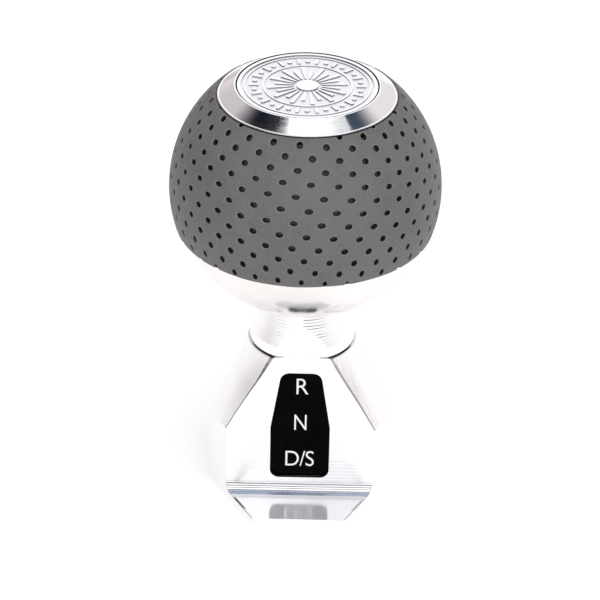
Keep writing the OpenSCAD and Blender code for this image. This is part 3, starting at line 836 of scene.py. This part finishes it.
        rough = g.math("MULTIPLY_ADD", handled["Cloud"], 0.05, 0.2)
        rough = g.math("SUBTRACT", rough, g.times(ledge, 0.1))
        height = g.math("ADD", g.times(milled["Height"], front),
                        g.times(turned["Height"], cone, 0.4))
        height = g.math("ADD", height, g.times(close["Height"], foot))
        close_material(g, Base_Color=tone, Roughness=rough,
                       Metallic=g.less(g.times(ledge, 0.63)),
                       Anisotropic=0.8, Tangent=g.across(front),
                       Normal=g.bump(height, 0.005 * MM, normal=g.soft_edge()))
        return mat

    def fillet_lines(self, g, z, facing, foot, ledge, height):
        """The cutter's close lines round the fillet, painted dark as shade in them, faint on
        the flat and the ledge
        """
        above = g.span(z, LEDGE_Z - 0.15 * MM, LEDGE_Z - 0.05 * MM)
        return g.times(g.span(facing, 0.02, 0.2, 0.35, 0.88), foot, above,
                       g.less(g.times(ledge, 0.96)), g.span(height, 1.12, 0.72))

    def reflection_band(self, g, spot, z):
        """A bluish band painted where the fillet meets the ledge: a painted reflection"""
        return g.times(g.span(z, LEDGE_Z + 0.65 * MM, LEDGE_Z + 0.4 * MM),
                       g.span(z, LEDGE_Z + 0.01 * MM, LEDGE_Z + 0.07 * MM),
                       g.span(g.noise(spot, 0.3 * MM), 0.35, 0.6, 0.5, 1.0))

    def streaks(self, g, x, y):
        """Lilac streaks up the right of the cone: painted reflections"""
        along = g.add("ShaderNodeCombineXYZ", {0: g.turn(x, y)}).outputs[0]
        reflection_streak = g.noise(along, 0.03, 1.0)
        return g.times(g.span(reflection_streak, 0.4, 0.62), g.span(x, 1 * MM, 2 * MM))

    def burr_shade(self, g, x, z, gap, height):
        """Painted shade of the burr along the milled face: a dark line, wide and broken by
        the rings on the left
        """
        width = g.span(z, FOOT_HIGH.z - 8 * MM, FOOT_HIGH.z - 1 * MM, 0.25 * MM, 0.55 * MM)
        wide = g.times(g.span(g.math("DIVIDE", gap, width), 1.0, 0.8),
                       g.span(height, 0.5, 1.1, 1.0, 0.6))
        fine = g.span(gap, 0.5 * MM, 0.3 * MM, 0.0, 0.6)
        return g.blend(g.span(x, -2 * MM, 2 * MM), wide, fine)

    def seam(self, g, y, z):
        """Painted shade in the gap below the neck: a dark line, front and back"""
        return g.times(g.span(z, FOOT_HIGH.z - 0.14 * MM, FOOT_HIGH.z - 0.1 * MM),
                       g.span(y, FLAT_Y + 0.2 * MM, FLAT_Y + 0.4 * MM),
                       g.span(g.math("ABSOLUTE", y), 3.5 * MM, 5.5 * MM))

    def shaded_ledge_sides(self, g, x, y):
        """Painted shade along the ledge's slanting sides"""
        # How far out a point lies along the direction square to the slanting side
        out_x, out_y = 0.868, -0.497
        reach = g.math("ADD", g.times(g.math("ABSOLUTE", x), out_x), g.times(y, out_y))
        ledge_shade = g.times(g.span(reach, 17.65 * MM, 17.8 * MM),
                       g.span(y, -12.0 * MM, -12.8 * MM), g.span(y, -16.8 * MM, -16.2 * MM),
                       g.span(x, -2 * MM, 2 * MM, 1.0, 0.6))
        cut = g.times(g.span(reach, 18.0 * MM, 18.1 * MM),
                      g.span(y, -16.6 * MM, -17.0 * MM, 0.0, 0.8))
        return g.math("MAXIMUM", ledge_shade, cut)


class KNOB_OT_medallion(bpy.types.Operator):
    """Finishes the struck medallion, satin in the field and bright on the relief"""

    bl_idname = "knob.medallion"
    bl_label = "Medallion"

    def execute(self, context):
        look = context.scene.knob_metal
        mat, g = new_material("medallion_silver")
        spot, x, y, z = g.place()
        handled = g.group("handling", spot)
        grain = g.group("spark_grain", spot, Size=0.16 * MM)
        low = g.span(z, COIN_HIGH.z - 0.24 * MM, COIN_HIGH.z - 0.12 * MM, 1.0, 0.0)
        tone = g.blend(g.times(low, 0.2), look.medallion, shade(look.medallion, 0.8))
        tone = g.blend(g.times(handled["Cloud"], 0.2), tone, shade(look.medallion, 0.9))
        # The relief has dark walls, and the disc's outer wall is darker still: painted shade
        # in the gap round it
        steep = g.span(g.facing(), 0.8, 0.5)
        wall = g.times(steep, g.span(z, COIN_HIGH.z - 0.4 * MM, COIN_HIGH.z - 0.3 * MM), 0.8)
        tone = g.blend(wall, tone, (0.12, 0.12, 0.14))
        rim = g.span(g.radius(x, y), COIN_HIGH.x - 0.2 * MM, COIN_HIGH.x - 0.1 * MM)
        tone = g.blend(g.times(steep, rim), tone, (0.02, 0.02, 0.02))
        rough = g.math("MULTIPLY_ADD", low, 0.16, 0.24)
        height = g.times(grain["Height"], g.math("MULTIPLY_ADD", low, 0.8, 0.2))
        close_material(g, Base_Color=tone, Metallic=1.0, Roughness=rough,
                       Normal=g.bump(height, 0.02 * MM))
        dress("medallion", mat)
        dress("medallion_pad", plain_finish("foam_tape", (0.8, 0.8, 0.8), 0.8))
        return {"FINISHED"}


# The gear display

# Gear letters: the side and height of their middles and their widths, in millimetres
LEGEND = [("R", 0.32, 27.4, 2.5), ("N", 0.03, 18.4, 2.55), ("D/S", 0.03, 9.2, 6.0)]


class KNOB_OT_display(bpy.types.Operator):
    """Finishes the window and prints the gear letters on it"""

    bl_idname = "knob.display"
    bl_label = "Gear display"

    def execute(self, context):
        look = context.scene.knob_display
        dress("window_lens", self.lens_material())
        dress("lens_gasket", plain_finish("black_rubber", (0.015, 0.015, 0.015), 0.7))
        dress("letter_film", plain_finish("legend_film", (0.75, 0.75, 0.77), 0.4))
        dress("gear_lamps", plain_finish("lamp", (0.85, 0.83, 0.62), 0.3, coat=0.5))
        dress("light_board", plain_finish("circuit_board", (0.02, 0.12, 0.06), 0.35,
                                          coat=0.6))
        dress("board_socket", plain_finish("socket_plastic", (0.72, 0.69, 0.6), 0.5))
        ink = plain_finish("legend_ink", look.letter_colour, 0.5, depth=0.001)
        for text, side, height, width in LEGEND:
            self.letter(text, side * MM, height * MM, width * MM, look.letter_height, ink)
        return {"FINISHED"}

    def lens_material(self):
        """Smoked gloss with a painted highlight: a light line along its edges"""
        mat, g = new_material("black_gloss")
        spot, *_ = g.place()
        handled = g.group("handling", spot)
        wave = g.noise(spot, 0.006, 1.0)
        tone = g.blend(handled["Cloud"], (0.001, 0.001, 0.001), (0.002, 0.002, 0.002))
        # Painted highlight along the lens's edges
        tone = g.blend(g.times(g.edge(0.3 * MM), 0.9), tone, (0.75, 0.78, 0.82))
        rough = g.math("MULTIPLY_ADD", handled["Scratch"], 0.12, 0.05)
        rough = g.math("MULTIPLY_ADD", handled["Cloud"], 0.03, rough)
        close_material(g, Base_Color=tone, Roughness=rough, Specular_IOR_Level=0.02,
                       Normal=g.bump(wave, 0.01 * MM))
        return mat

    def letter(self, text, side, height, width, tall, ink):
        """Prints one legend just in front of the glass, stretched to its size"""
        curve = bpy.data.curves.new("letters", "FONT")
        curve.body = text
        curve.size = 1.0
        curve.offset = -0.004
        curve.space_character = 0.94
        curve.resolution_u = 6
        holder = new_object("letters", curve)
        graph = bpy.context.evaluated_depsgraph_get()
        mesh = bpy.data.meshes.new_from_object(holder.evaluated_get(graph))
        bpy.data.objects.remove(holder)
        xs = [v.co.x for v in mesh.vertices]
        ys = [v.co.y for v in mesh.vertices]
        mid = Vector(((min(xs) + max(xs)) / 2, (min(ys) + max(ys)) / 2, 0))
        wide, high = width / (max(xs) - min(xs)), tall / (max(ys) - min(ys))
        for v in mesh.vertices:
            p = v.co - mid
            v.co = Vector((side + p.x * wide, LENS_LOW.y - 0.012 * MM, height + p.y * high))
        mesh.materials.clear()
        mesh.materials.append(ink)
        piece = new_object("letter_" + text.replace("/", "_").lower(), mesh)
        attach(piece, "knob")


# The inner works


class KNOB_OT_works(bpy.types.Operator):
    """Finishes the button's stem, the tie stud, the lever sleeve and the underside"""

    bl_idname = "knob.works"
    bl_label = "Inner works and underside"

    def execute(self, context):
        steel = bare_metal("steel", (0.6, 0.6, 0.62), 0.25, 0.003, 0.3 * MM)
        black = plain_finish("spring_steel", (0.05, 0.05, 0.055), 0.35, metallic=0.8)
        brass = bare_metal("brass", (0.78, 0.58, 0.26), 0.25, 0.004, 0.3 * MM)
        plate = plain_finish("plate_plastic", (0.03, 0.03, 0.032), 0.5, 0.4 * MM, 0.03)
        finishes = [
            (steel, ["push_rod", "index_pin", "tie_stud", "tie_washer", "tie_nut",
                     "plate_screws"]),
            (black, ["rod_clip", "return_spring", "grub_screws"]),
            (brass, ["guide_bush", "lever_sleeve"]),
            (plate, ["cover_plate"]),
        ]
        for material, nodes in finishes:
            for node in nodes:
                dress(node, material)

        # A copy with a mesh of its own stands for the spring; the real spring shortens as the
        # button goes down
        coil = new_object("spring_coil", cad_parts["return_spring"].data.copy())
        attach(coil, "knob")
        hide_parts("return_spring")
        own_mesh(coil)
        return {"FINISHED"}


# The stage

# Half the floor's side, in metres
FLOOR_HALF = 3.0

# The photograph's camera, found from the ball, the ring and the foot: focal length and
# width in pixels and sensor in millimetres, the angles in degrees, and in millimetres
# the point that it looks at and how far it stands from there
FOCAL_LENGTH, PHOTO_WIDTH, SENSOR = 2690.717, 600, 36.0
AZIMUTH, ELEVATION, ROLL = -0.094, 31.72, 1.225
LOOK_AT, DISTANCE = Vector((-0.592, -0.014, 43.316)), 557.35


class KNOB_OT_stage(bpy.types.Operator):
    """Sets the floor, the lights, the surroundings and the camera"""

    bl_idname = "knob.stage"
    bl_label = "Stage"

    def execute(self, context):
        look = context.scene.knob_studio
        self.floor()
        self.surround(context, look)
        self.light("overhead", (0.07, 0.05, 0.85), (0.345, 0.55), look.key_power)
        self.light("from_right", (0.55, -0.45, 0.55), (0.4, 0.4), look.side_power)
        self.camera(context)
        context.scene.view_settings.view_transform = "Standard"
        return {"FINISHED"}

    def floor(self):
        """White, with a painted shadow: darker to the left at the back, where only
        reflections show it
        """
        mat, g = new_material("white_floor")
        spot, x, y, _ = g.place()
        tone = g.blend(g.noise(spot, 0.3, 2.0), (0.93, 0.93, 0.93), (0.95, 0.95, 0.95))
        # Painted shadow: a darker patch on the floor to the left and behind
        floor_shade = g.times(g.span(g.radius(x, y), 0.2, 0.42), g.span(x, 0.1, -0.2),
                       g.span(y, -0.35, -0.1))
        tone = g.blend(floor_shade, tone, (0.36, 0.31, 0.33))
        path = g.add("ShaderNodeLightPath").outputs
        mirrored = g.math("MAXIMUM", path["Is Glossy Ray"], path["Is Transmission Ray"])
        seen = g.times(path["Is Camera Ray"], g.math("MULTIPLY_ADD", floor_shade, 0.65, 0.3))
        close_material(g, Base_Color=tone, Roughness=0.9, Specular_IOR_Level=0.1,
                       Emission_Color=(1, 1, 1),
                       Emission_Strength=g.math("MULTIPLY_ADD", mirrored, 0.3, seen))
        mesh = bpy.data.meshes.new("floor")
        corners = [(-1, -1), (1, -1), (1, 1), (-1, 1)]
        mesh.from_pydata([(a * FLOOR_HALF, b * FLOOR_HALF, 0) for a, b in corners], [],
                         [(0, 1, 2, 3)])
        mesh.materials.append(mat)
        floor = new_object("floor", mesh)

    def surround(self, context, look):
        """White surroundings, toned by direction, with a darker ceiling round the light"""
        world = bpy.data.worlds.new("studio")
        context.scene.world = world
        world.use_nodes = True
        g = Graph(world.node_tree)
        way = g.add("ShaderNodeTexCoord").outputs["Generated"]
        x, y, z = g.add("ShaderNodeSeparateXYZ", {0: way}).outputs[:3]
        front, back = g.span(y, -0.1, -0.28), g.span(y, 0.5, 0.66)
        tone = g.blend(g.span(y, -0.3, -0.6), (1.0, 1.0, 1.0), (1.19, 1.19, 1.2))
        # The light in front, which the ledge shows by way of the milled face
        wide = g.math("ABSOLUTE", x)
        spot = g.times(g.span(z, 0.33, 0.42), g.span(z, 0.74, 0.64), g.span(wide, 0.5, 0.3),
                       g.span(y, -0.5, -0.65))
        tone = g.blend(spot, tone, (2.1, 2.1, 2.1))
        tone = g.blend(g.span(y, 0.2, 0.7), tone, (0.86, 0.82, 0.82))
        middle = g.times(g.span(wide, 0.3, 0.12), back)
        tone = g.blend(middle, tone, (1.17, 1.17, 1.19))
        left = g.times(g.span(x, -0.2, -0.6), g.span(y, -0.6, -0.3))
        tone = g.blend(left, tone, (0.62, 0.575, 0.6))
        tone = g.blend(g.span(x, 0.5, 0.9), tone, (0.79, 0.74, 0.77))
        ceiling = g.blend(g.span(x, 0.1, 0.45), (0.003, 0.005, 0.012),
                          (0.05, 0.065, 0.10))
        ceiling = g.blend(front, ceiling, (0.86, 0.89, 0.93))
        rise = g.math("MULTIPLY_ADD", front, 0.14, g.times(back, 0.25))
        tone = g.blend(g.span(g.math("SUBTRACT", z, rise), 0.58, 0.82), tone, ceiling)
        studio = g.add("ShaderNodeBackground", {"Color": tone, "Strength": look.surround})
        white = g.add("ShaderNodeBackground", {"Color": (1, 1, 1), "Strength": 1.0})
        seen = g.add("ShaderNodeLightPath").outputs["Is Camera Ray"]
        mix = g.add("ShaderNodeMixShader", {
            0: seen, 1: studio.outputs[0], 2: white.outputs[0]})
        g.add("ShaderNodeOutputWorld", {"Surface": mix.outputs[0]})

    def light(self, name, place, size, power):
        """A rectangular light that faces the middle of the knob"""
        data = bpy.data.lights.new(name, "AREA")
        data.shape = "RECTANGLE"
        data.size, data.size_y = size
        data.energy = power
        lamp = new_object(name, data)
        lamp.location = place
        lamp.rotation_mode = "QUATERNION"
        away = Vector(place) - Vector((0, 0, 50 * MM))
        lamp.rotation_quaternion = away.to_track_quat("Z", "Y")

    def camera(self, context):
        """Stands where the photograph was taken from"""
        data = bpy.data.cameras.new("camera")
        data.sensor_width = SENSOR
        data.lens = FOCAL_LENGTH * SENSOR / PHOTO_WIDTH
        az, el, roll = (math.radians(angle) for angle in (AZIMUTH, ELEVATION, ROLL))
        back = Vector((math.sin(az) * math.cos(el), -math.cos(az) * math.cos(el),
                       math.sin(el)))
        right = Vector((0, 0, 1)).cross(back).normalized()
        up = back.cross(right)
        side = right * math.cos(roll) + up * math.sin(roll)
        rise = up * math.cos(roll) - right * math.sin(roll)
        turn = Matrix((side, rise, back)).transposed().to_4x4()
        spot = (LOOK_AT + back * DISTANCE) * MM
        data.clip_start, data.clip_end = 0.01, 20
        cam = new_object("camera", data)
        cam.matrix_world = Matrix.Translation(spot) @ turn
        context.scene.camera = cam


# The add-on


class KNOB_PT_panel(bpy.types.Panel):
    """Lists the knob's settings and the pieces that they make"""

    bl_idname = "KNOB_PT_panel"
    bl_label = "Shift knob"
    bl_space_type = "VIEW_3D"
    bl_region_type = "UI"
    bl_category = "Shift knob"

    def draw(self, context):
        for holder, settings, operators in PARTS:
            box = self.layout.box()
            look = getattr(context.scene, holder)
            for key in settings.__annotations__:
                box.prop(look, key)
            for op in operators:
                box.operator(op.bl_idname)


# Each group of settings, and the operators that use it, in the order in which they run
PARTS = [
    ("knob_leather", KnobLeather, [KNOB_OT_leather]),
    ("knob_metal", KnobMetal, [KNOB_OT_metal, KNOB_OT_medallion, KNOB_OT_works]),
    ("knob_display", KnobDisplay, [KNOB_OT_display]),
    ("knob_studio", KnobStudio, [KNOB_OT_stage]),
]
OPERATORS = [op for _, _, ops in PARTS for op in ops]


def register():
    for holder, settings, _ in PARTS:
        bpy.utils.register_class(settings)
        setattr(bpy.types.Scene, holder, bpy.props.PointerProperty(type=settings))
    for cls in (*OPERATORS, KNOB_PT_panel):
        bpy.utils.register_class(cls)


def unregister():
    for cls in (KNOB_PT_panel, *reversed(OPERATORS)):
        bpy.utils.unregister_class(cls)
    for holder, settings, _ in PARTS:
        delattr(bpy.types.Scene, holder)
        bpy.utils.unregister_class(settings)


def main():
    register()
    build_groups()
    for op in OPERATORS:
        group, call = op.bl_idname.split(".")
        if getattr(getattr(bpy.ops, group), call)() != {"FINISHED"}:
            raise RuntimeError(op.bl_idname + " didn't finish")


if __name__ == "__main__":
    main()
